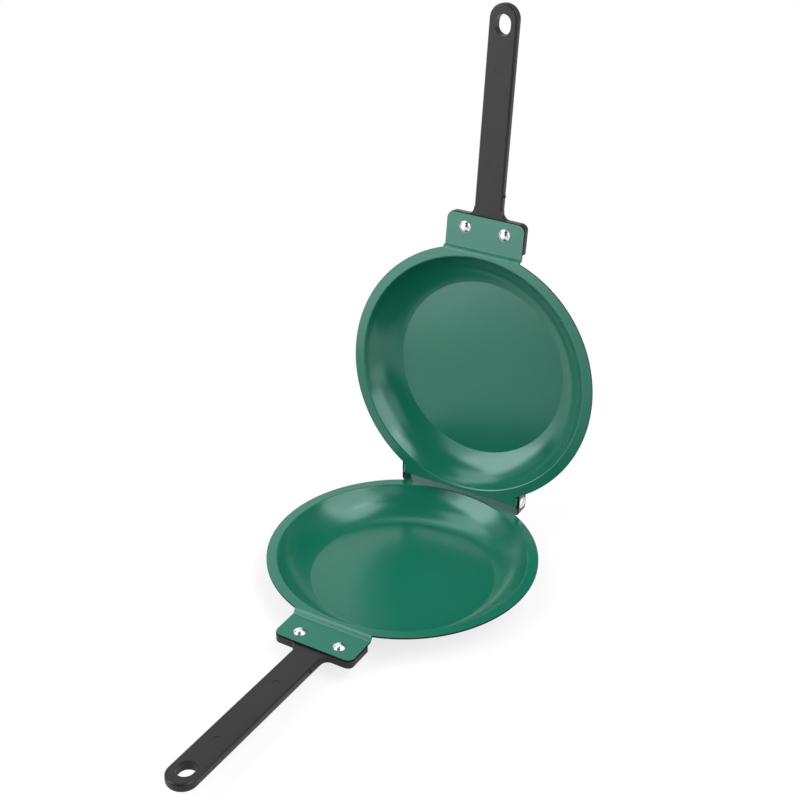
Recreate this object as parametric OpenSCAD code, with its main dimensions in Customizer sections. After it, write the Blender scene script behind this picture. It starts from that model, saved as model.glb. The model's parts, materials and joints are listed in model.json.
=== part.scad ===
// Double sided flip pan: two shallow round pans, each stamped from one sheet, hinged rim
// to rim on two riveted ears, each with its own flat moulded handle. It is drawn standing
// open on the lower pan's base, with the upper pan leaned back against the hinge's stop.
// Millimetres, +Z up. The origin is the middle of the lower pan's underside, the handles
// point along -Y and the hinge lies along X at the back.
// Each pan is drawn in its own pan frame first: the rim's face is z = 0, the bowl hangs
// below it, and the pan's centre line is the Z axis.

/* [Pan] */
// Diameter over the flat rim
rim_d = 190; // [160:1:240]
// Width of the flat rim, out from the corner where the wall turns down
rim_w = 7.1; // [6.5:0.1:9]
// Depth inside the pan, from the rim's face to the base
pan_depth = 19.1; // [14:0.1:30]
// Diameter of the flat base, measured inside at the foot of the wall
base_d = 130; // [110:1:134]
// Thickness of the sheet
sheet = 1.2; // [0.8:0.1:1.6]
// Inside radius of the bend at the lip
lip_r = 0.4; // [0.2:0.1:1]
// Inside radius of the bend at the foot of the wall
foot_r = 1; // [0.5:0.1:2]
// How much steeper the hollow wall is at the lip, and flatter at its foot, in degrees
wall_curve = 24; // [10:1:28]
// Distance from the rim's edge in to the straight step of the handle tab
step_inset = 4.5; // [3.8:0.1:4.8]

/* [Handle tab] */
// Width of the tab that carries the handle
tab_w = 59.4; // [50:0.1:66]
// Reach of the tab beyond the rim's edge
tab_reach = 21.3; // [19:0.1:26]
// Drop of the tab below the rim's face
tab_drop = 3.4; // [3:0.1:5]
// Length over which the tab steps down
step_run = 1.8; // [1.4:0.1:3]
// Corner radius at the tab's two front corners
tab_corner_r = 5; // [3:0.5:8]

/* [Handle] */
// Length of a handle, from its end to the front edge of its tab
grip_l = 144.7; // [110:0.1:190]
// Width of the bar
grip_w = 20.8; // [16:0.1:25]
// Thickness of the bar
grip_t = 7; // [6:0.1:10]
// Rounding of the bar's edges on the inner face
grip_inner_r = 1.6; // [0.5:0.1:2]
// Rounding of the bar's edges on the outer face
grip_outer_r = 2.6; // [1:0.1:3.5]
// Distance between a handle's end and the plane where the two handles meet
grip_meet_gap = 0.2; // [0.1:0.1:1]
// Thickness of the head plate under the tab
head_t = 5.2; // [4:0.1:6]
// Length of the head plate, from front to back
head_l = 21.5; // [19:0.1:22.5]
// Border of the head plate that shows round the tab
head_margin = 0.3; // [0.2:0.1:2.5]
// Corner radius at the head plate's two front corners
head_corner_r = 5.3; // [3:0.1:8]
// Fillet between the head plate and the bar
head_fillet_r = 5; // [2:0.5:8]
// Radius of the round marks that the mould's ejector pins leave on the inner face
mark_r = 2.5; // [1.5:0.1:4]
// Depth of those marks
mark_depth = 0.15; // [0.1:0.05:0.5]
// Radius of the small stub that the mould's gate leaves on the bar's side
gate_r = 1; // [0.5:0.1:1.4]
// How far that stub stands out
gate_h = 0.9; // [0.4:0.1:1.2]
// Distance from the tab's front edge to that stub
gate_at = 16.5; // [14:0.5:30]
// Width of the hanging hole
hang_w = 11.7; // [7:0.1:13]
// Length of the hanging hole
hang_l = 14; // [13.2:0.1:24]
// Distance from the handle's end to the middle of the hanging hole
hang_inset = 13.9; // [12.5:0.1:30]

/* [Handle rivets] */
// Distance between the two rivets of a handle
rivet_pitch = 30.4; // [28:0.1:40]
// Distance from the tab's front edge back to the rivets
rivet_inset = 9.6; // [8:0.1:11]
// Radius of a rivet's domed head
head_r = 4.3; // [3.5:0.1:5]
// Height of a rivet's domed head
head_h = 2.1; // [1.4:0.1:2.3]
// Radius of a rivet's shank
shank_r = 2.3; // [1.5:0.1:3]
// Radius of the closed end of a rivet
tail_r = 3.6; // [3.2:0.1:4.2]
// Height of the closed end of a rivet
tail_h = 1.5; // [1:0.1:2.5]
// Radius of the washer under a rivet's closed end
washer_r = 5.2; // [4.5:0.1:6]
// Thickness of that washer
washer_t = 1; // [0.6:0.1:1.6]
// Gap all round a shank in the holes that it only fills
hole_gap = 0.05; // [0.02:0.01:0.2]

/* [Hinge] */
// Width over the outer ears of the lower pan
hinge_w = 97.8; // [80:0.1:104]
// Distance from the rim's outer edge in to the straight back edge
back_inset = 4.6; // [4:0.1:5.4]
// Distance from the back edge in to the hinge's axis
axis_inset = 1.2; // [0.6:0.1:1.6]
// Height of the hinge's axis above the lower rim's face
axis_h = 7.7; // [7.2:0.1:9]
// Opening angle at which the upper pan leans on the lower ears
open_angle = 97.2; // [94:0.1:105]
// Gap left between that stop and the upper rim
stop_gap = 0.3; // [0.2:0.05:0.6]
// Gap between the two rims when the pan is shut
rim_gap = 0.4; // [0.3:0.05:0.8]
// Gap between an outer and an inner ear
ear_gap = 0.4; // [0.3:0.05:1]
// Inside radius of the bend at the foot of an ear
ear_bend_r = 1; // [0.5:0.1:1.5]
// Height of an outer ear above the axis
outer_ear_top = 9.3; // [8.5:0.1:12]
// Reach of an outer ear behind the axis
outer_ear_back = 6.2; // [5:0.1:9]
// Corner radius at an outer ear's top
outer_ear_corner_r = 1.5; // [0.5:0.1:2]
// Width of the flat strip beside an ear's bend
lug_w = 3.2; // [2:0.1:5]
// Radius of an inner ear round the axis
inner_ear_r = 5.5; // [5:0.1:6]
// Radius of a hinge rivet's shank
pin_r = 2.5; // [1.5:0.1:3]
// Running clearance of an inner ear on that shank, on the radius
pin_gap = 0.08; // [0.02:0.01:0.1]
// Gap between an inner ear and the closed end of its rivet
tail_gap = 0.3; // [0.2:0.05:0.6]

/* [Hidden] */

$fn = 96;
bend_steps = 6;                              // straight pieces that make up one bend
wall_steps = 12;                             // and those that make up the hollow wall
over = 1;                                    // how far a cutting shape runs past its solid

enamel = [0.16, 0.50, 0.41];
plastic = [0.17, 0.17, 0.18];
steel = [0.80, 0.81, 0.82];

rim_r = rim_d / 2;
rim_top = pan_depth + sheet;                 // the lower rim's face above the table
lip_corner_r = rim_r - rim_w;
base_r = base_d / 2;
wall_slope = atan2(pan_depth, lip_corner_r - base_r);
wall_bow = min(wall_curve, wall_slope - 2, 88 - wall_slope);   // it neither dips nor overhangs
wall_arc_r = norm([pan_depth, lip_corner_r - base_r]) / (2 * sin(wall_bow));
back_y = rim_r - back_inset;                 // the upper pan's straight back edge
axis_y = back_y - axis_inset;
plate_y = axis_y + outer_ear_back;           // the lower pan's, level with its ears
step_y = -(rim_r - step_inset);              // where the handle tab begins to step down
tab_front_y = -(rim_r + tab_reach);
tab_top = -tab_drop;
tab_under = tab_top - sheet;
rivet_y = tab_front_y + rivet_inset;
rivet_grip = sheet + head_t + washer_t;      // what a handle rivet holds together
grip_rise = -tab_under - grip_meet_gap;      // the bar climbs so that the handles meet
grip_tilt = asin(grip_rise / grip_l);
mark_places = [0.28, 0.70];                  // along the bar, as parts of its length
gate_z = (grip_outer_r - grip_inner_r - grip_t) / 2;    // middle of the bar's flat side

outer_ear_x = hinge_w / 2 - sheet / 2;       // middle of an outer ear's sheet
inner_ear_x = outer_ear_x - sheet - ear_gap;
upper_axis_z = -(axis_h - rim_gap);          // the axis in the upper pan's own pan frame

// The stop. The corner of the upper rim that meets an outer ear lies at the ear's inside
// face, on the back of the rim. From the axis it stands rim_back behind and rim_below
// below when the pan is shut, and it turns with the opening angle.
rim_back = axis_y - sqrt(pow(rim_r, 2) - pow(outer_ear_x - sheet / 2, 2));
rim_below = -upper_axis_z - sheet;
rim_corner_y = -rim_back * cos(open_angle) - rim_below * sin(open_angle);
rim_corner_z = rim_back * sin(open_angle) - rim_below * cos(open_angle);
rim_lean = max(0, outer_ear_top - rim_corner_z) * tan(open_angle - 90);
outer_ear_front = rim_corner_y + rim_lean + stop_gap;   // the ear's front edge, from the axis

// Square to a heading, to its left
function left_of(a) = [-sin(a), cos(a)];
function heading(a, b) = atan2(b[1] - a[1], b[0] - a[0]);
// A turn between two headings, from -180 to 180 degrees
function turn(a, b) = let (d = b - a) d > 180 ? d - 360 : d < -180 ? d + 360 : d;

// The places and headings of a line through p[0], p[1] ... with a bend of radius r[i]
// at each inner point; radius 0 stands for a point on a curve that is already fine
function bend(p, i, r) =
    let (a = heading(p[i - 1], p[i]), w = turn(a, heading(p[i], p[i + 1])), s = sign(w),
         start = p[i] - r * tan(abs(w) / 2) * [cos(a), sin(a)],
         centre = start + r * s * left_of(a))
    r == 0 ? [[p[i], a + w / 2]] :
    [for (k = [0:bend_steps]) let (h = a + w * k / bend_steps) [centre - r * s * left_of(h), h]];
function line_path(p, r) =
    let (n = len(p) - 1)
    concat([[p[0], heading(p[0], p[1])]],
           [for (i = [1:n - 1]) each bend(p, i, r[i])],
           [[p[n], heading(p[n - 1], p[n])]]);
function beside(path, off) = [for (q = path) q[0] + off * left_of(q[1])];
function back_to_front(v) = [for (i = [len(v) - 1:-1:0]) v[i]];

// The section of a sheet of thickness t, bent along a line
function sheet_section(p, r, t) =
    let (path = line_path(p, r))
    concat(beside(path, t / 2), back_to_front(beside(path, -t / 2)));

// A closed outline with corner i rounded to radius r[i]; 0 leaves it sharp
function rounded(p, r) =
    let (n = len(p))
    [for (i = [0:n - 1])
        let (trio = [p[(i + n - 1) % n], p[i], p[(i + 1) % n]])
        each (r[i] == 0 ? [p[i]] : [for (q = bend(trio, 1, r[i])) q[0]])];

// Drawn in the YZ plane and drawn out along X by w, about x = 0
module along_x(w) {
    rotate([90, 0, 90]) linear_extrude(w, center = true) children();
}

// Drawn in the XZ plane and drawn out along Y, from y0 to y1
module along_y(y0, y1) {
    translate([0, y1, 0]) rotate([90, 0, 0]) linear_extrude(y1 - y0) children();
}

module both_sides() {
    children();
    mirror([1, 0, 0]) children();
}

// ---- Pans, in the pan frame ------------------------------------------------------

// The middle line of the wall: an arc from its foot up to the corner of the lip
function wall_line(foot) =
    let (centre = foot + wall_arc_r * left_of(wall_slope - wall_bow))
    [for (k = [0:wall_steps])
        centre - wall_arc_r * left_of(wall_slope + wall_bow * (2 * k / wall_steps - 1))];

// Base, hollow wall and flat rim, turned about the centre line
module bowl() {
    mid = -sheet / 2;
    corners = [0, foot_r + sheet / 2, for (k = [2:wall_steps]) 0, lip_r + sheet / 2, 0];
    rotate_extrude($fn = 180)
        polygon(sheet_section([[0, mid - pan_depth], each wall_line([base_r, mid - pan_depth]),
                               [rim_r, mid]], corners, sheet));
}

// The outline of the tab, seen from above
module tab_plan() {
    half = tab_w / 2;
    polygon(rounded([[-half, tab_front_y], [half, tab_front_y],
                     [half, step_y + over], [-half, step_y + over]],
                    [tab_corner_r, tab_corner_r, 0, 0]));
}

// The tab for the handle: it steps down from the rim along a straight line
module handle_tab() {
    mid = -sheet / 2;
    bend_r = sheet;
    intersection() {
        along_x(tab_w)
            polygon(sheet_section([[step_y + over, mid], [step_y, mid],
                                   [step_y - step_run, mid - tab_drop],
                                   [tab_front_y, mid - tab_drop]],
                                  [0, bend_r, bend_r, 0], sheet));
        translate([0, 0, -tab_drop - 2 * sheet]) linear_extrude(tab_drop + 3 * sheet) tab_plan();
    }
}

// The rim's square corners at the hinge, out to where the ears bend at half width x, and
// back to the straight edge at y
module hinge_wings(x, y) {
    translate([0, 0, -sheet]) linear_extrude(sheet) difference() {
        translate([-x, 0]) square([2 * x, y]);
        circle(r = rim_r - rim_w / 2, $fn = 180);
    }
}

// What both pans share: the bowl, cut straight at the hinge and for the tab, and the tab
module pan_blank(wing_x, edge_y) {
    difference() {
        union() {
            bowl();
            hinge_wings(wing_x, edge_y);
        }
        translate([-rim_r, edge_y, -rim_top]) cube([rim_d, rim_r, 2 * rim_top]);
        translate([-tab_w / 2, step_y - rim_r, -tab_drop])
            cube([tab_w, rim_r + sheet / 2, 2 * tab_drop]);
    }
    handle_tab();
}

// One ear of the hinge on the +X side: a strip bent from flat at x - lead to upright at x,
// running to z = tip. ear_side is its outline in the YZ plane.
module ear(x, lead, tip) {
    mid = -sheet / 2;
    intersection() {
        along_y(0, rim_r + outer_ear_back)
            polygon(sheet_section([[x - lead, mid], [x, mid], [x, tip]],
                                  [0, ear_bend_r + sheet / 2, 0], sheet));
        translate([x - lead, 0, 0]) along_x(4 * lead) children();
    }
}

// Cutters for a handle's two rivet holes, through the tab and the head plate alike
module rivet_holes() {
    for (side = [-1, 1])
        translate([side * rivet_pitch / 2, rivet_y, tab_under - head_t - over])
            cylinder(r = shank_r + hole_gap, h = head_t + sheet + 2 * over);
}

// Seen from the side, an outer ear is square, with its front edge where the rim stops
module outer_ear_side() {
    front = axis_y + outer_ear_front;
    back = axis_y + outer_ear_back;
    top = axis_h + outer_ear_top;
    polygon(rounded([[front, -sheet - over], [back, -sheet - over], [back, top], [front, top]],
                    [0, 0, outer_ear_corner_r, outer_ear_corner_r]));
}

// An inner ear runs from the back edge out to a round end about the axis
module inner_ear_side() {
    translate([axis_y, upper_axis_z]) circle(r = inner_ear_r);
    translate([axis_y - inner_ear_r, upper_axis_z])
        square([inner_ear_r + axis_inset, over - upper_axis_z]);
}

// A whole pan with its straight edge at edge_y and its two ears at half width ear_x. The
// ears' outline is the child.
module pan_sheet(edge_y, ear_x, ear_tip, axis_z, hole_r) {
    bend_reach = ear_bend_r + sheet / 2;
    difference() {
        union() {
            pan_blank(ear_x - bend_reach, edge_y);
            both_sides() ear(ear_x, lug_w + bend_reach, ear_tip) children();
        }
        both_sides() translate([ear_x, axis_y, axis_z]) rotate([0, 90, 0])
            cylinder(r = hole_r, h = 4 * sheet, center = true);
        rivet_holes();
    }
}

module lower_pan_sheet() {
    pan_sheet(plate_y, outer_ear_x, axis_h + outer_ear_top, axis_h, pin_r + hole_gap)
        outer_ear_side();
}

module upper_pan_sheet() {
    pan_sheet(back_y, inner_ear_x, upper_axis_z - inner_ear_r, upper_axis_z, pin_r + pin_gap)
        inner_ear_side();
}

// ---- Handles, in the pan frame ---------------------------------------------------

// Head plate under the tab, with fillets that run into the bar
module handle_head() {
    half = tab_w / 2 + head_margin;
    side = grip_w / 2;
    front = tab_front_y - head_margin;
    rear = front + head_l;
    neck = front - head_fillet_r - over;
    under = tab_under - head_t;
    soft_r = grip_outer_r / 2;
    intersection() {
        translate([0, 0, under]) linear_extrude(head_t)
            polygon(rounded([[-half, rear], [-half, front], [-side, front], [-side, neck],
                             [side, neck], [side, front], [half, front], [half, rear]],
                            [soft_r, head_corner_r, head_fillet_r, 0,
                             0, head_fillet_r, head_corner_r, soft_r]));
        along_y(neck, rear)
            polygon(rounded([[-half, under], [half, under], [half, tab_under], [-half, tab_under]],
                            [soft_r, soft_r, 0, 0]));
    }
}

// Half of the bar's cross-section; the full one is this and its mirror image
function half_grip_section() =
    let (side = grip_w / 2)
    rounded([[0, -grip_t], [side, -grip_t], [side, 0], [0, 0]], [0, grip_outer_r, grip_inner_r, 0]);

// The bar in its own frame: its inner face is z = 0, and it runs to -Y from the tab's front
module grip_bar() {
    end_y = grip_w / 2 - grip_l;
    start = head_fillet_r / 2;
    ramp = 2 * (grip_t - head_t) + head_margin;
    intersection() {
        union() {
            along_y(end_y, start) {
                polygon(half_grip_section());
                mirror([1, 0]) polygon(half_grip_section());
            }
            translate([0, end_y, 0]) rotate([0, 0, 180]) rotate_extrude(angle = 180)
                polygon(half_grip_section());
        }
        along_x(grip_w + over)
            polygon([[start, 0], [start, -head_t], [0, -head_t], [-ramp, -grip_t],
                     [-grip_l - over, -grip_t], [-grip_l - over, 0]]);
    }
}

// The ejector pins' marks in the bar's inner face, as cutters
module ejector_marks() {
    for (part = mark_places)
        translate([0, -part * grip_l, -mark_depth]) cylinder(r = mark_r, h = mark_depth + over);
}

// What is left of the mould's gate, a small round stub on one side of the bar
module gate_stub(side) {
    translate([side * (grip_w / 2 - over), -gate_at, gate_z]) rotate([0, side * 90, 0])
        cylinder(r = gate_r, h = over + gate_h, $fn = 32);
}

// The hole that the handle hangs by, as a cutter through the bar
module hanging_hole() {
    r = hang_w / 2;
    reach = (hang_l - hang_w) / 2;
    translate([0, hang_inset - grip_l, -grip_t - over]) {
        for (end = [-1, 1])
            translate([0, end * reach, 0]) cylinder(r = r, h = grip_t + 2 * over);
        translate([-r, -reach, 0]) cube([hang_w, 2 * reach, grip_t + 2 * over]);
    }
}

// What is drawn in the bar's own frame goes to its place in the pan frame
module at_the_bar() {
    translate([0, tab_front_y, tab_under]) rotate([-grip_tilt, 0, 0]) children();
}

module handle(gate_side) {
    difference() {
        union() {
            handle_head();
            at_the_bar() grip_bar();
            at_the_bar() gate_stub(gate_side);
        }
        at_the_bar() hanging_hole();
        at_the_bar() ejector_marks();
        rivet_holes();
    }
}

// ---- Rivets and washers ----------------------------------------------------------

// Half of a domed end of radius r and height h, to be turned about the Y axis
module dome_section(r, h) {
    ball = (r * r + h * h) / (2 * h);
    intersection() {
        translate([0, h - ball]) circle(r = ball);
        square([r, h]);
    }
}

// A rivet along Z: the domed head seats at z = 0 and the closed end at z = -grip
module rivet(shank, grip) {
    rotate_extrude() {
        dome_section(head_r, head_h);
        translate([0, -grip]) square([shank, grip]);
        translate([0, -grip]) mirror([0, 1]) dome_section(tail_r, tail_h);
    }
}

module handle_rivet(side) {
    translate([side * rivet_pitch / 2, rivet_y, tab_top]) rivet(shank_r, rivet_grip);
}

module washer(side) {
    translate([side * rivet_pitch / 2, rivet_y, tab_under - head_t - washer_t])
        difference() {
            cylinder(r = washer_r, h = washer_t);
            translate([0, 0, -over]) cylinder(r = shank_r + hole_gap, h = washer_t + 2 * over);
        }
}

// A hinge rivet: its head seats outside the lower pan's ear
module hinge_rivet(side) {
    grip = 2 * sheet + ear_gap + tail_gap;
    translate([side * hinge_w / 2, axis_y, axis_h]) rotate([0, side * 90, 0]) rivet(pin_r, grip);
}

// ---- Where the two pans stand ----------------------------------------------------

module on_lower_pan() {
    translate([0, 0, rim_top]) children();
}

module on_upper_pan() {
    translate([0, axis_y, rim_top + axis_h]) rotate([-open_angle, 0, 0])
        translate([0, -axis_y, upper_axis_z]) rotate([0, 180, 0]) children();
}

// ---- Pieces ----------------------------------------------------------------------

module lower_pan() { color(enamel) on_lower_pan() lower_pan_sheet(); }
module upper_pan() { color(enamel) on_upper_pan() upper_pan_sheet(); }
module lower_handle() { color(plastic) on_lower_pan() handle(1); }
module upper_handle() { color(plastic) on_upper_pan() handle(-1); }
module lower_handle_rivet(side) { color(steel) on_lower_pan() handle_rivet(side); }
module upper_handle_rivet(side) { color(steel) on_upper_pan() handle_rivet(-side); }
module lower_washer(side) { color(steel) on_lower_pan() washer(side); }
module upper_washer(side) { color(steel) on_upper_pan() washer(-side); }
module hinge_rivet_on(side) { color(steel) on_lower_pan() hinge_rivet(side); }

lower_pan();
upper_pan();
lower_handle();
upper_handle();
lower_handle_rivet(-1);  // lower_handle_rivet_left
lower_handle_rivet(1);  // lower_handle_rivet_right
upper_handle_rivet(-1);  // upper_handle_rivet_left
upper_handle_rivet(1);  // upper_handle_rivet_right
lower_washer(-1);  // lower_washer_left
lower_washer(1);  // lower_washer_right
upper_washer(-1);  // upper_washer_left
upper_washer(1);  // upper_washer_right
hinge_rivet_on(-1);  // hinge_rivet_left
hinge_rivet_on(1);  // hinge_rivet_right
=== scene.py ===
# %% [markdown]
# # A double sided flip pan
# Two shallow pans of pressed steel, hinged rim to rim on riveted ears, with flat moulded
# handles. The sizes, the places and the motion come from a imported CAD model, the frame. This
# notebook adds what a camera sees: softly bent edges, a satin green coating, moulded plastic,
# bright rivets, light and a camera.

# %% Load the frame
import json
import math

import bmesh
import bpy
from mathutils import Matrix, Vector


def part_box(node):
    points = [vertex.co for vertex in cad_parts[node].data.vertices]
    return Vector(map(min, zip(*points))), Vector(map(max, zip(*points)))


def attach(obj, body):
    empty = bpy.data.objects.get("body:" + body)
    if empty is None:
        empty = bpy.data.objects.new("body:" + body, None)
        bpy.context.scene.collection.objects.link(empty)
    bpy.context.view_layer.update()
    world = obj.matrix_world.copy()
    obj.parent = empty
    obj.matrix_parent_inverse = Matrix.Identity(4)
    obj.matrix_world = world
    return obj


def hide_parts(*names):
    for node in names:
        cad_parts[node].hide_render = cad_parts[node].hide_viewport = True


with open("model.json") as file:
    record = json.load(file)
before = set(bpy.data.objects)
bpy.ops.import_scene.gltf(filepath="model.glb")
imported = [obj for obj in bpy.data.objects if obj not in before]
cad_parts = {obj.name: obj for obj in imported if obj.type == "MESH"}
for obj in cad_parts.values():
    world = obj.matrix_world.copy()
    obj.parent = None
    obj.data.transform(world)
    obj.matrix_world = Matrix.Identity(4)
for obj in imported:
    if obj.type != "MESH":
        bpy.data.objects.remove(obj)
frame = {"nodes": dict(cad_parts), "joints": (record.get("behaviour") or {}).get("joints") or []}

scene = bpy.context.scene
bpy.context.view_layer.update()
MM = 0.001

# %% [markdown]
# ## Camera
# A photograph fixes its camera up to one number, the scale. Here that camera was worked out
# from the two rims, the tabs and the handle ends, so it is written as where it stands, how far
# it is turned round the pan and tipped down, and its focal length on a 36 mm wide sensor.

# %% Camera
CAMERA_AT = Vector((0.41773, -0.72891, 0.61575))
ROUND_DEG, DOWN_DEG, ROLL_DEG = 29.99, 29.38, 0.446
SENSOR_MM, FOCAL_MM = 36.0, 65.78


def way_from_pan(turn, tip):
    """The direction that is turned round from the front, to the right, and tipped up."""
    return Vector((math.sin(turn) * math.cos(tip), -math.cos(turn) * math.cos(tip), math.sin(tip)))


def camera_axes(round_deg, down_deg, roll_deg):
    """Right, up and back of a camera that looks at the pan, as unit vectors."""
    turn, tip, roll = (math.radians(a) for a in (round_deg, down_deg, roll_deg))
    back = way_from_pan(turn, tip)
    level = Vector((math.cos(turn), math.sin(turn), 0))
    upward = back.cross(level)
    right = level * math.cos(roll) + upward * math.sin(roll)
    return right, back.cross(right), back


lens = bpy.data.cameras.new("photo_lens")
lens.sensor_fit = "HORIZONTAL"
lens.sensor_width = SENSOR_MM
lens.lens = FOCAL_MM
camera = bpy.data.objects.new("photo_camera", lens)
scene.collection.objects.link(camera)
camera_turn = Matrix(camera_axes(ROUND_DEG, DOWN_DEG, ROLL_DEG)).transposed()
camera.matrix_world = Matrix.Translation(CAMERA_AT) @ camera_turn.to_4x4()
scene.camera = camera
print("camera distance from the origin in mm:", round(CAMERA_AT.length / MM))

# %% [markdown]
# ## Colours and nodes
# Paint charts and screens give colours as sRGB hex values, while a shader works in linear
# light. One function turns the first into the second. Another one adds a node, sets its
# inputs and makes its links, so each material reads as a short list, and three small ones add
# the nodes that come back most: a mix of two colours, a noise, and arithmetic on two numbers.


# %% Colours and nodes
def linear(hex_colour):
    """An sRGB hex colour as the linear colour that a shader takes."""
    parts = [int(hex_colour[i:i + 2], 16) / 255 for i in (1, 3, 5)]
    return [c / 12.92 if c <= 0.04045 else ((c + 0.055) / 1.055) ** 2.4 for c in parts] + [1.0]


def add(tree, kind, settings=None, **inputs):
    """Adds a node. An input is a value, or the socket that feeds it."""
    node = tree.nodes.new(kind)
    for name, value in (settings or {}).items():
        setattr(node, name, value)
    for name, value in inputs.items():
        socket = next(s for s in node.inputs if s.name.replace(" ", "_") == name and s.enabled)
        if isinstance(value, bpy.types.NodeSocket):
            tree.links.new(value, socket)
        else:
            socket.default_value = value
    return node


def mixed(tree, share, first, second):
    """Two hex colours, mixed by a socket that runs from 0 to 1."""
    mix = add(tree, "ShaderNodeMix", {"data_type": "RGBA"}, Factor=share)
    mix.inputs[6].default_value = linear(first)
    mix.inputs[7].default_value = linear(second)
    return mix.outputs[2]


def noise(tree, size_mm, detail, **more):
    """A noise on the object's own coordinates, whose features are about size_mm wide."""
    place = add(tree, "ShaderNodeTexCoord").outputs["Object"]
    return add(tree, "ShaderNodeTexNoise", Vector=place, Scale=1 / (size_mm * MM), Detail=detail,
               **more).outputs["Fac"]


def figure(tree, operation, one, other):
    """A Math node on two inputs, each a number or the socket that feeds it."""
    node = add(tree, "ShaderNodeMath", {"operation": operation})
    for socket, value in zip(node.inputs, (one, other)):
        if isinstance(value, bpy.types.NodeSocket):
            tree.links.new(value, socket)
        else:
            socket.default_value = value
    return node.outputs[0]


def surface(name):
    """A new material with an empty tree: the material, its tree and its output."""
    material = bpy.data.materials.new(name)
    material.use_nodes = True
    material.node_tree.nodes.clear()
    output = material.node_tree.nodes.new("ShaderNodeOutputMaterial")
    return material, material.node_tree, output


# %% [markdown]
# ## Ceramic coating
# The cooking side is sprayed with a sol-gel ceramic, a thin glassy layer full of green
# pigment. It is satin: broad soft reflections, no mirror. Sprayed droplets leave a faint
# orange peel, about 1 mm from crest to crest, and the film's thickness drifts, which the eye
# reads as slow changes of depth in the green. Roughness carries the satin, bump the peel. The
# pigment has a little pearl in it, so the reflections are tinted a very pale green.

# %% Ceramic coating
COATING = "#11644F"
COATING_DEEP = "#0F5F4A"
PEARL = "#DCFFF8"
SATIN = (0.19, 0.24)
GLAZE_IOR = 1.6
DRIFT_MM, PEEL_MM, PEEL_HEIGHT_MM = 26.0, 1.1, 0.03


def ceramic_coating():
    material, tree, output = surface("satin_green_ceramic_coating")
    drift = noise(tree, DRIFT_MM, 3.0)
    peel = noise(tree, PEEL_MM, 2.0)
    rough = add(tree, "ShaderNodeMapRange", Value=drift, To_Min=SATIN[0], To_Max=SATIN[1])
    bump = add(tree, "ShaderNodeBump", Height=peel, Strength=0.10, Distance=PEEL_HEIGHT_MM * MM)
    shader = add(tree, "ShaderNodeBsdfPrincipled",
                 Base_Color=mixed(tree, drift, COATING, COATING_DEEP),
                 Roughness=rough.outputs["Result"], Normal=bump.outputs["Normal"], IOR=GLAZE_IOR,
                 Specular_Tint=linear(PEARL))
    tree.links.new(shader.outputs[0], output.inputs["Surface"])
    return material


# %% [markdown]
# ## Outside paint
# The outside of such pans is sprayed with a charcoal heat resistant silicone paint. It is
# duller than the ceramic. The cut edge of the sheet gets an almost black, rough and hardly
# shining finish, which draws a fine dark line round the green. Both are one paint with other
# numbers: base colour, fleck, roughness and how much the surface shines at all.

# %% Outside paint
PAINT = "#4E5150"
PAINT_FLECK = "#5E6160"
EDGE = "#0E0D0C"
EDGE_FLECK = "#1A1917"
PAINT_IOR = 1.5
SPRAY_MM, SPRAY_HEIGHT_MM = 0.9, 0.03
FLECKS_FROM, FLECKS_TO = 0.45, 0.7


def silicone_paint(name, base, fleck, roughness, shine):
    material, tree, output = surface(name)
    spray = noise(tree, SPRAY_MM, 4.0)
    flecks = add(tree, "ShaderNodeMapRange", Value=spray, From_Min=FLECKS_FROM,
                 From_Max=FLECKS_TO).outputs["Result"]
    bump = add(tree, "ShaderNodeBump", Height=spray, Strength=0.15,
               Distance=SPRAY_HEIGHT_MM * MM)
    shader = add(tree, "ShaderNodeBsdfPrincipled", Base_Color=mixed(tree, flecks, base, fleck),
                 Roughness=roughness, Normal=bump.outputs["Normal"], IOR=PAINT_IOR,
                 Specular_IOR_Level=shine)
    tree.links.new(shader.outputs[0], output.inputs["Surface"])
    return material


# %% [markdown]
# ## Handle plastic
# The handles are black phenolic, the hard plastic of cookware. A spark eroded mould gives it a
# fine matt grain, with soft flow marks along the bar from where the resin ran.

# %% Handle plastic
PHENOLIC = "#0E0E10"
PHENOLIC_FLOW = "#171719"
PHENOLIC_ROUGHNESS = (0.34, 0.46)
PHENOLIC_IOR = 1.38
SPARK_MM, SPARK_HEIGHT_MM, FLOW_MM = 0.7, 0.05, 9.0


def phenolic():
    material, tree, output = surface("black_moulded_phenolic")
    grain = noise(tree, SPARK_MM, 3.0)
    flow = noise(tree, FLOW_MM, 3.0, Distortion=1.2)
    rough = add(tree, "ShaderNodeMapRange", Value=flow, To_Min=PHENOLIC_ROUGHNESS[0],
                To_Max=PHENOLIC_ROUGHNESS[1])
    bump = add(tree, "ShaderNodeBump", Height=grain, Strength=0.25, Distance=SPARK_HEIGHT_MM * MM)
    shader = add(tree, "ShaderNodeBsdfPrincipled",
                 Base_Color=mixed(tree, flow, PHENOLIC, PHENOLIC_FLOW),
                 Roughness=rough.outputs["Result"], Normal=bump.outputs["Normal"],
                 IOR=PHENOLIC_IOR)
    tree.links.new(shader.outputs[0], output.inputs["Surface"])
    return material


# %% [markdown]
# ## Rivet steel
# Rivet heads are tumbled bright stainless steel. A metal takes its colour from what it
# reflects, so its own colour is a light grey and its roughness is low. Tumbling leaves small
# dings, which make the roughness vary a little round its mean.

# %% Rivet steel
STEEL = "#D9DADB"
DING_MM, DING_DEPTH_MM = 1.6, 0.08
SMOOTHER, ROUGHER = 0.85, 1.25


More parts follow.
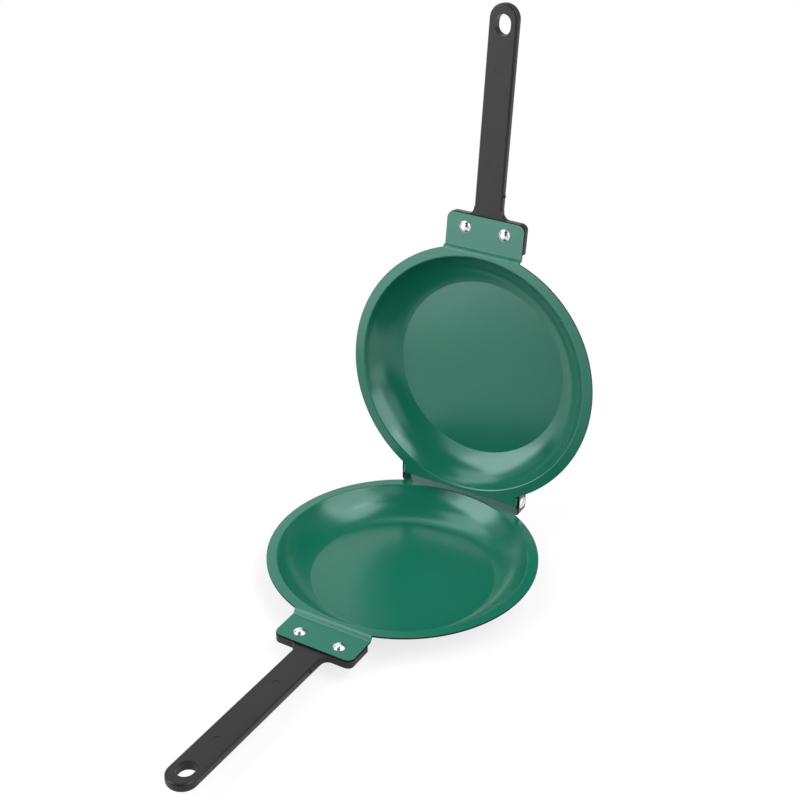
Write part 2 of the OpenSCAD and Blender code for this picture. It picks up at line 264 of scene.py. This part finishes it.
def bright_steel(name, roughness):
    material, tree, output = surface(name)
    dings = noise(tree, DING_MM, 2.0)
    bump = add(tree, "ShaderNodeBump", Height=dings, Strength=0.12, Distance=DING_DEPTH_MM * MM)
    rough = add(tree, "ShaderNodeMapRange", Value=dings, To_Min=roughness * SMOOTHER,
                To_Max=roughness * ROUGHER)
    shader = add(tree, "ShaderNodeBsdfPrincipled", Base_Color=linear(STEEL), Metallic=1.0,
                 Roughness=rough.outputs["Result"], Normal=bump.outputs["Normal"])
    tree.links.new(shader.outputs[0], output.inputs["Surface"])
    return material


finishes = {
    "coating": ceramic_coating(),
    "paint": silicone_paint("charcoal_silicone_paint", PAINT, PAINT_FLECK,
                            roughness=0.5, shine=0.5),
    "edge": silicone_paint("dark_cut_edge", EDGE, EDGE_FLECK, roughness=0.85, shine=0.15),
    "phenolic": phenolic(),
    "rivet": bright_steel("tumbled_stainless_steel", roughness=0.24),
    "washer": bright_steel("pressed_zinc_plated_steel", roughness=0.34),
}
print("finishes:", ", ".join(m.name for m in finishes.values()))

# %% [markdown]
# ## Pans
# A pan is one pressing, 1.2 mm thick. Its shape is already exact in the frame, as loose
# triangles. A copy is merged into one skin, flat triangles are joined into larger faces, sharp
# edges get the small round that pressing and paint leave, and each face gets the finish of the
# side that it is on. Seen in the pan's own frame, rim at z = 0 and bowl hanging below, the
# cooking side is the one whose faces look up, and each ear carries its finish on round the bend.
# What looks sideways is the sheet's cut edge.

# %% A pan's own frame
RIM_HEIGHT = 20.3 * MM
SHUT_GAP = 0.4 * MM
hinge = frame["joints"][0]
hinge_at = Vector(hinge["pos_m"])


def to_own_frame(node):
    """From the row frame to a pan's own frame: rim face at z = 0 and bowl below it."""
    if node == "lower_pan":
        return Matrix.Translation((0, 0, -RIM_HEIGHT))
    shut = (Matrix.Translation(hinge_at)
            @ Matrix.Rotation(math.radians(hinge["range_deg"][1]), 4, "X")
            @ Matrix.Translation(-hinge_at))
    lowered = Matrix.Translation((0, 0, -RIM_HEIGHT - SHUT_GAP))
    return Matrix.Rotation(math.pi, 4, "Y") @ lowered @ shut


print("the pans shut by", hinge["range_deg"][1], "degrees")

# %% Merged copies
FLAT_ANGLE = 0.005
SHARP_ANGLE = math.radians(32)
TOUCHING = 0.001 * MM


def shade_smooth(skin):
    """Smooth shading that still breaks at sharp edges."""
    for face in skin.faces:
        face.smooth = True
    for edge in skin.edges:
        edge.smooth = edge.calc_face_angle(0) < SHARP_ANGLE


def merged_copy(node, name, finish_names):
    """A closed skin with large flat faces, copied from a CAD node, as a new object."""
    mesh = bpy.data.meshes.new(name)
    skin = bmesh.new()
    skin.from_mesh(frame["nodes"][node].data)
    bmesh.ops.remove_doubles(skin, verts=skin.verts, dist=TOUCHING)
    bmesh.ops.dissolve_limit(skin, angle_limit=FLAT_ANGLE, verts=skin.verts, edges=skin.edges)
    for face in skin.faces:
        face.material_index = 0
    shade_smooth(skin)
    skin.to_mesh(mesh)
    skin.free()
    piece = bpy.data.objects.new(name, mesh)
    scene.collection.objects.link(piece)
    for key in finish_names:
        mesh.materials.append(finishes[key])
    return piece


# %% Soft edges
ROUND_MM, ROUND_STEPS = 0.35, 2
FACE_WEIGHT = 80


def soften(piece, finish_index=-1):
    """Rounds a piece's sharp edges, and keeps its flat faces flat in the shading.

    The rounds get the finish of the faces beside them, or else the one with this index."""
    bevel = piece.modifiers.new("soft_edges", "BEVEL")
    bevel.width = ROUND_MM * MM
    bevel.segments = ROUND_STEPS
    bevel.material = finish_index
    bevel.limit_method = "ANGLE"
    bevel.angle_limit = SHARP_ANGLE
    bevel.use_clamp_overlap = True
    shading = piece.modifiers.new("flat_faces_stay_flat", "WEIGHTED_NORMAL")
    shading.keep_sharp = True
    shading.weight = FACE_WEIGHT


# %% Sides of the sheet
COOKING_SIDE, OUTSIDE, CUT_EDGE = 0, 1, 2
EARS_FROM_X, EARS_FROM_Y = 44 * MM, 82 * MM
EDGE_IF_FACING_UNDER, EAR_EDGE_IF_FACING_UNDER, EAR_EDGE_IF_ALONG_OVER = 0.35, 0.3, 0.5


def side_of_sheet(own, normal, is_lower):
    """Which side of the sheet a face is on, from its middle and normal in the pan's frame."""
    facing = normal.z
    is_edge = abs(facing) < EDGE_IF_FACING_UNDER
    if abs(own.x) > EARS_FROM_X and own.y > EARS_FROM_Y:
        if abs(normal.x) > abs(normal.z):
            outward = normal.x * math.copysign(1.0, own.x)
            facing = -outward if is_lower else outward
        is_edge = (abs(normal.y) > EAR_EDGE_IF_ALONG_OVER
                   or abs(facing) < EAR_EDGE_IF_FACING_UNDER)
    if is_edge:
        return CUT_EDGE
    return COOKING_SIDE if facing > 0 else OUTSIDE


# %% Pans
def pan_piece(node, name, body):
    piece = merged_copy(node, name, ["coating", "paint", "edge"])
    own_frame = to_own_frame(node)
    turn = own_frame.to_3x3()
    for face in piece.data.polygons:
        face.material_index = side_of_sheet(own_frame @ face.center, turn @ face.normal,
                                            node == "lower_pan")
    soften(piece, CUT_EDGE)
    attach(piece, body)
    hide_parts(node)
    return piece


pans = [pan_piece("lower_pan", "lower_pan_sheet", "lower"),
        pan_piece("upper_pan", "upper_pan_sheet", "upper")]
print("pan faces:", [len(p.data.polygons) for p in pans])

# %% [markdown]
# ## Handles
# The handles are moulded. A copy of each is merged the same way and every edge gets a small
# round, because a mould's corners are never quite sharp.


# %% Handles
def handle_piece(node, name, body):
    piece = merged_copy(node, name, ["phenolic"])
    soften(piece)
    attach(piece, body)
    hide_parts(node)
    return piece


handles = [handle_piece("lower_handle", "lower_handle_moulding", "lower"),
           handle_piece("upper_handle", "upper_handle_moulding", "upper")]
print("handle faces:", [len(h.data.polygons) for h in handles])

# %% [markdown]
# ## Rivets and washers
# All of these are turned shapes that repeat, so one Geometry Nodes tree makes them. It takes
# half of a section as a line of points, sweeps it round an axis on a grid, closes the seam,
# and sets one copy on each seat, pointing the way that the seat points.

# %% A tree for turned pieces
STEPS_ROUND = 48


def turned_tree():
    tree = bpy.data.node_groups.new("turned_on_seats", "GeometryNodeTree")
    port = tree.interface.new_socket
    port("Seats", in_out="INPUT", socket_type="NodeSocketGeometry")
    sockets = {
        "section": port("Section", in_out="INPUT", socket_type="NodeSocketObject"),
        "steps": port("Steps round", in_out="INPUT", socket_type="NodeSocketInt"),
        "finish": port("Finish", in_out="INPUT", socket_type="NodeSocketMaterial"),
    }
    port("Geometry", in_out="OUTPUT", socket_type="NodeSocketGeometry")
    enter = tree.nodes.new("NodeGroupInput").outputs
    leave = tree.nodes.new("NodeGroupOutput")
    section = add(tree, "GeometryNodeObjectInfo", Object=enter["Section"]).outputs["Geometry"]
    size = add(tree, "GeometryNodeAttributeDomainSize", Geometry=section).outputs["Point Count"]
    columns = figure(tree, "ADD", enter["Steps round"], 1)
    grid = add(tree, "GeometryNodeMeshGrid", Size_X=1.0, Size_Y=1.0, Vertices_X=columns,
               Vertices_Y=size)
    along = add(tree, "ShaderNodeSeparateXYZ", Vector=grid.outputs["UV Map"])
    last = figure(tree, "SUBTRACT", size, 1)
    step = figure(tree, "MULTIPLY", along.outputs["Y"], last)
    index = figure(tree, "ROUND", step, 0)
    position = add(tree, "GeometryNodeInputPosition").outputs[0]
    point = add(tree, "GeometryNodeSampleIndex", {"data_type": "FLOAT_VECTOR", "domain": "POINT"},
                Geometry=section, Value=position, Index=index).outputs["Value"]
    angle = figure(tree, "MULTIPLY", along.outputs["X"], 2 * math.pi)
    swept = add(tree, "ShaderNodeVectorRotate", {"rotation_type": "Z_AXIS"}, Vector=point,
                Angle=angle)
    shaped = add(tree, "GeometryNodeSetPosition", Geometry=grid.outputs["Mesh"],
                 Position=swept.outputs["Vector"])
    closed = add(tree, "GeometryNodeMergeByDistance", Geometry=shaped.outputs[0],
                 Distance=TOUCHING)
    facing = add(tree, "GeometryNodeInputNamedAttribute", {"data_type": "FLOAT_VECTOR"},
                 Name="facing").outputs["Attribute"]
    turn = add(tree, "FunctionNodeAlignRotationToVector", {"axis": "Z"}, Vector=facing)
    copies = add(tree, "GeometryNodeInstanceOnPoints", Points=enter["Seats"],
                 Instance=closed.outputs[0], Rotation=turn.outputs[0])
    real = add(tree, "GeometryNodeRealizeInstances", Geometry=copies.outputs[0])
    coated = add(tree, "GeometryNodeSetMaterial", Geometry=real.outputs[0],
                 Material=enter["Finish"])
    tree.links.new(coated.outputs[0], leave.inputs[0])
    return tree, {name: socket.identifier for name, socket in sockets.items()}


turned, turned_inputs = turned_tree()
print("turned_on_seats has", len(turned.nodes), "nodes")

# %% [markdown]
# The section's line is written from the sizes of the real piece: a domed head, a shank and
# the closed end of a rivet, or the four corners of a washer. The dome is an arc of a ball, and
# its brim has a small round, as a pressed head has.

# %% Sections
HEAD_R, HEAD_H, TAIL_R, TAIL_H = 4.3, 2.1, 3.6, 1.5
BRIM_R, BRIM_ANGLES, BRIM_DROP = 0.35, (0.35, 0.75, 1.15, 1.45), 0.8
SEAT_INSET = 0.05
DOME_STEPS = 14


def dome(radius, height):
    """From the middle of a dome to its brim, then in to the seat, as (r, z) in mm."""
    ball = (radius ** 2 + height ** 2) / (2 * height)
    edge = math.asin((radius - BRIM_R) / ball)
    angles = [edge * i / DOME_STEPS for i in range(DOME_STEPS + 1)]
    arc = [(ball * math.sin(a), ball * math.cos(a) - ball + height) for a in angles]
    start_z = arc[-1][1]
    brim = [(radius - BRIM_R + BRIM_R * math.sin(a), start_z * math.cos(a) ** BRIM_DROP)
            for a in BRIM_ANGLES]
    return arc + brim + [(radius - SEAT_INSET, 0.0)]


def rivet_section(shank_r, grip):
    """Head, shank and closed end of a rivet, with its head's seat at z = 0."""
    head = dome(HEAD_R, HEAD_H)
    tail = [(r, -z - grip) for r, z in reversed(dome(TAIL_R, TAIL_H))]
    return head + [(shank_r, 0.0), (shank_r, -grip)] + tail


def washer_section(inner_r, outer_r, thickness, soft=0.15):
    """A washer's section, its outer corners cut by the size of soft."""
    corners = [(inner_r, thickness), (outer_r - soft, thickness), (outer_r, thickness - soft),
               (outer_r, soft), (outer_r - soft, 0.0), (inner_r, 0.0)]
    return corners + corners[:1]


def section_object(name, points_mm):
    mesh = bpy.data.meshes.new(name)
    mesh.from_pydata([(r * MM, 0, z * MM) for r, z in points_mm], [], [])
    return bpy.data.objects.new(name, mesh)


# %% [markdown]
# A seat is where a head rests. It is read from the frame: the middle of a CAD rivet's box,
# moved along its axis to its head's seat. Pieces on one body are one mesh.

# %% Seats
upper_turn = to_own_frame("upper_pan").to_3x3().inverted()
OUT_OF_TAB = {"lower": Vector((0, 0, 1)), "upper": upper_turn @ Vector((0, 0, 1))}
HANDLE_SHANK_R, HANDLE_GRIP = 2.3, 7.4
HINGE_SHANK_R, HINGE_GRIP = 2.5, 3.1
WASHER_BORE_R, WASHER_R, WASHER_T = 2.35, 5.2, 1.0


def box_middle(node):
    low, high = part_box(node)
    return (low + high) / 2


def tab_seats(kind, body, from_middle_mm):
    """Where the pieces of one kind sit on a tab, which way they point, and their nodes."""
    nodes = [f"{body}_{kind}_{side}" for side in ("left", "right")]
    way = OUT_OF_TAB[body]
    return [(box_middle(n) + way * from_middle_mm * MM, way) for n in nodes], nodes


print("the upper tab faces", [round(c, 3) for c in OUT_OF_TAB["upper"]])


# %% Turned pieces on their seats
def turned_mesh(name, seats, section_points, finish):
    """The tree's result for these seats, as a plain mesh."""
    mesh = bpy.data.meshes.new(name + "_seats")
    mesh.from_pydata([place for place, _ in seats], [], [])
    facing = mesh.attributes.new("facing", "FLOAT_VECTOR", "POINT")
    for i, (_, way) in enumerate(seats):
        facing.data[i].vector = way
    carrier = bpy.data.objects.new(name + "_seats", mesh)
    scene.collection.objects.link(carrier)
    section = section_object(name + "_section", section_points)
    turning = carrier.modifiers.new("turning", "NODES")
    turning.node_group = turned
    turning[turned_inputs["section"]] = section
    turning[turned_inputs["steps"]] = STEPS_ROUND
    turning[turned_inputs["finish"]] = finish
    evaluated = carrier.evaluated_get(bpy.context.evaluated_depsgraph_get())
    result = bpy.data.meshes.new_from_object(evaluated)
    carrier.modifiers.remove(turning)
    bpy.data.objects.remove(carrier)
    bpy.data.objects.remove(section)
    return result


def on_seats(name, seats, section_points, finish, body, nodes):
    """One mesh of turned pieces on their seats, which rides on a body."""
    mesh = turned_mesh(name, seats, section_points, finish)
    piece = bpy.data.objects.new(name, mesh)
    scene.collection.objects.link(piece)
    skin = bmesh.new()
    skin.from_mesh(mesh)
    bmesh.ops.recalc_face_normals(skin, faces=skin.faces)
    shade_smooth(skin)
    skin.to_mesh(mesh)
    skin.free()
    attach(piece, body)
    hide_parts(*nodes)
    return piece


rivet_offset = (HANDLE_GRIP + TAIL_H - HEAD_H) / 2
for body in ("lower", "upper"):
    seats, nodes = tab_seats("handle_rivet", body, rivet_offset)
    on_seats(body + "_handle_rivets", seats, rivet_section(HANDLE_SHANK_R, HANDLE_GRIP),
             finishes["rivet"], body, nodes)
    seats, nodes = tab_seats("washer", body, -WASHER_T / 2)
    on_seats(body + "_washers", seats, washer_section(WASHER_BORE_R, WASHER_R, WASHER_T),
             finishes["washer"], body, nodes)
print("two rivets and two washers on each tab")

# %% Hinge rivets
hinge_offset = (HINGE_GRIP + TAIL_H - HEAD_H) / 2
hinge_nodes = ["hinge_rivet_left", "hinge_rivet_right"]
hinge_seats = []
for node, way in zip(hinge_nodes, (Vector((-1, 0, 0)), Vector((1, 0, 0)))):
    hinge_seats.append((box_middle(node) + way * hinge_offset * MM, way))
hinge_rivets = on_seats("hinge_rivets", hinge_seats, rivet_section(HINGE_SHANK_R, HINGE_GRIP),
                        finishes["rivet"], "lower", hinge_nodes)
print("hinge rivet triangles:", sum(len(f.vertices) - 2 for f in hinge_rivets.data.polygons))

# %% [markdown]
# ## Floor and background
# The photograph is a product shot on white. Light Path tells the floor what kind of ray
# arrives. To the camera it is plain white, apart from a faint soft shadow close to the pan. In a
# reflection the shadow counts for more, because that close the pan mirrors a table in shade.
# To light that bounces it is a mid grey, so that the undersides of the pans stay dark.

# %% Floor
FLOOR_WHITE = "#F7F7F7"
FLOOR_BOUNCE = "#747474"
SHADOW_SHARE, MIRRORED_SHADOW_SHARE = 0.25, 0.9
SHADOW_FROM, SHADOW_TO = 0.05, 0.45


def floor_material():
    material, tree, output = surface("pale_floor")
    place = add(tree, "ShaderNodeTexCoord").outputs["Object"]
    far = add(tree, "ShaderNodeVectorMath", {"operation": "LENGTH"}, Vector=place)
    seen = add(tree, "ShaderNodeLightPath")
    near = add(tree, "ShaderNodeMapRange", Value=seen.outputs["Is Glossy Ray"],
               To_Min=1 - SHADOW_SHARE, To_Max=1 - MIRRORED_SHADOW_SHARE)
    fade = add(tree, "ShaderNodeMapRange", {"interpolation_type": "SMOOTHSTEP"},
               Value=far.outputs["Value"], From_Min=SHADOW_FROM, From_Max=SHADOW_TO,
               To_Min=near.outputs["Result"], To_Max=1.0)
    tone = mixed(tree, seen.outputs["Is Diffuse Ray"], FLOOR_WHITE, FLOOR_BOUNCE)
    matt = add(tree, "ShaderNodeBsdfDiffuse", Color=tone)
    glow = add(tree, "ShaderNodeEmission", Color=(1, 1, 1, 1), Strength=1.0)
    direct = figure(tree, "MAXIMUM", seen.outputs["Is Camera Ray"], seen.outputs["Is Glossy Ray"])
    clear = figure(tree, "MAXIMUM", direct, seen.outputs["Is Transmission Ray"])
    amount = figure(tree, "MULTIPLY", fade.outputs["Result"], clear)
    mix = tree.nodes.new("ShaderNodeMixShader")
    tree.links.new(amount, mix.inputs[0])
    tree.links.new(matt.outputs[0], mix.inputs[1])
    tree.links.new(glow.outputs[0], mix.inputs[2])
    tree.links.new(mix.outputs[0], output.inputs["Surface"])
    return material


FLOOR_HALF = 6
corners = [(-1, -1), (1, -1), (1, 1), (-1, 1)]
floor_mesh = bpy.data.meshes.new("floor")
floor_mesh.from_pydata([(x * FLOOR_HALF, y * FLOOR_HALF, 0) for x, y in corners], [],
                       [(0, 1, 2, 3)])
floor_mesh.materials.append(floor_material())
floor = bpy.data.objects.new("floor", floor_mesh)
scene.collection.objects.link(floor)
print("floor of", 2 * FLOOR_HALF, "m, white to the camera")

# %% [markdown]
# ## Light
# The reflections in the bowls tell how the studio was lit. Each spot of a shiny surface shows
# one direction, so the bowls are a map of the room: a white backdrop at the back left, low, a
# large soft box in front to the left, a second one at the right, a few weaker ones round them,
# and white cards on the table in front. Towards the camera the room is dark.
#
# The backdrop is the world, bright behind the pan and falling off along three axes. Reflections
# see it in full and matt surfaces see a small share of it, because lamps light them. The camera
# always sees white.

# %% World
WHITE_BACK, RIGHT_SHARE, ABOVE_SHARE = 1.7, 0.3, 0.33
FILL_SHARE = 0.15
BACK_FROM_TO, RIGHT_FROM_TO, ABOVE_FROM_TO = (-0.15, 0.55), (-0.48, -0.28), (0.53, 0.61)

world = bpy.data.worlds.new("light_tent")
scene.world = world
world.use_nodes = True
sky = world.node_tree
sky.nodes.clear()
way = add(sky, "ShaderNodeTexCoord").outputs["Generated"]
part = add(sky, "ShaderNodeSeparateXYZ", Vector=way)


def falloff(axis, from_to, first, last):
    """A soft change of brightness along one axis of the direction."""
    return add(sky, "ShaderNodeMapRange", {"interpolation_type": "SMOOTHSTEP"},
               Value=part.outputs[axis], From_Min=from_to[0], From_Max=from_to[1],
               To_Min=first, To_Max=last).outputs["Result"]


tent = figure(sky, "MULTIPLY", falloff("Y", BACK_FROM_TO, 0.0, WHITE_BACK),
              falloff("X", RIGHT_FROM_TO, 1.0, RIGHT_SHARE))
tent = figure(sky, "MULTIPLY", tent, falloff("Z", ABOVE_FROM_TO, 1.0, ABOVE_SHARE))
seen = add(sky, "ShaderNodeLightPath")
plain = figure(sky, "MAXIMUM", seen.outputs["Is Camera Ray"], seen.outputs["Is Transmission Ray"])
share = add(sky, "ShaderNodeMapRange", Value=seen.outputs["Is Glossy Ray"], To_Min=FILL_SHARE,
            To_Max=1.0)
lit = figure(sky, "MULTIPLY", tent, share.outputs["Result"])
level = figure(sky, "MAXIMUM", plain, lit)
backdrop = add(sky, "ShaderNodeBackground", Color=(1, 1, 1, 1), Strength=level)
add(sky, "ShaderNodeOutputWorld", Surface=backdrop.outputs[0])
print("the world has", len(sky.nodes), "nodes")

# %% Lamps
LIGHT_POINT = Vector((0, 0, 0.05))
LAMP_DISTANCE = 3.0

# Round from the front and positive to the right, up, width and height, all in degrees as
# seen from the pan, and how bright the box is next to white paper in full light.
SOFT_BOXES = {
    "left_key": (-46, 24, 36, 42, 5.2),
    "left_wing": (-76, 32, 20, 44, 0.5),
    "front_left": (-20, 25, 16, 30, 1.8),
    "left_upper": (-72, 56, 28, 26, 2.6),
    "right_key": (85, 35, 44, 40, 3.6),
    "right_wing": (118, 36, 22, 30, 1.15),
    "right_upper": (112, 63, 46, 20, 4.4),
    "right_lower": (68, 5, 36, 14, 2.0),
    "right_front": (46, 29, 22, 24, 1.3),
    "back_left_upper": (-138, 57, 50, 26, 1.0),
    "top": (-148, 73, 40, 12, 2.4),
}


def panel(name, wide, high, radiance):
    """A rectangular lamp, its sides in metres. Its power follows from its area."""
    data = bpy.data.lights.new(name, "AREA")
    data.shape = "RECTANGLE"
    data.size, data.size_y = wide, high
    data.energy = radiance * math.pi * data.size * data.size_y
    lamp = bpy.data.objects.new(name, data)
    scene.collection.objects.link(lamp)
    return lamp


for name, (round_deg, up_deg, wide_deg, high_deg, radiance) in SOFT_BOXES.items():
    way_to = way_from_pan(math.radians(round_deg), math.radians(up_deg))
    wide, high = (2 * LAMP_DISTANCE * math.tan(math.radians(a / 2)) for a in (wide_deg, high_deg))
    box = panel(name, wide, high, radiance)
    box.location = LIGHT_POINT + way_to * LAMP_DISTANCE
    box.rotation_mode = "QUATERNION"
    box.rotation_quaternion = (-way_to).to_track_quat("-Z", "Y")
print("soft boxes:", ", ".join(SOFT_BOXES))

# %% Cards on the table
# x and y of the middle, width and depth, all in metres, and how bright the card is, as above.
CARDS = {
    "near_card": (-0.66, -0.52, 0.8, 0.58, 1.7),
    "far_card": (-1.2, -3.28, 2.4, 4.9, 2.2),
}
CARD_HEIGHT = 0.02

for name, (x, y, wide, deep, radiance) in CARDS.items():
    card = panel(name, wide, deep, radiance)
    card.location = (x, y, CARD_HEIGHT)
    card.rotation_euler = (math.pi, 0, 0)
    card.visible_camera = False
print("cards:", ", ".join(CARDS))

# %% [markdown]
# ## Colour management
# Standard shows a colour as it is written, without a film look that would grey the green.

# %% View transform
scene.view_settings.view_transform = "Standard"
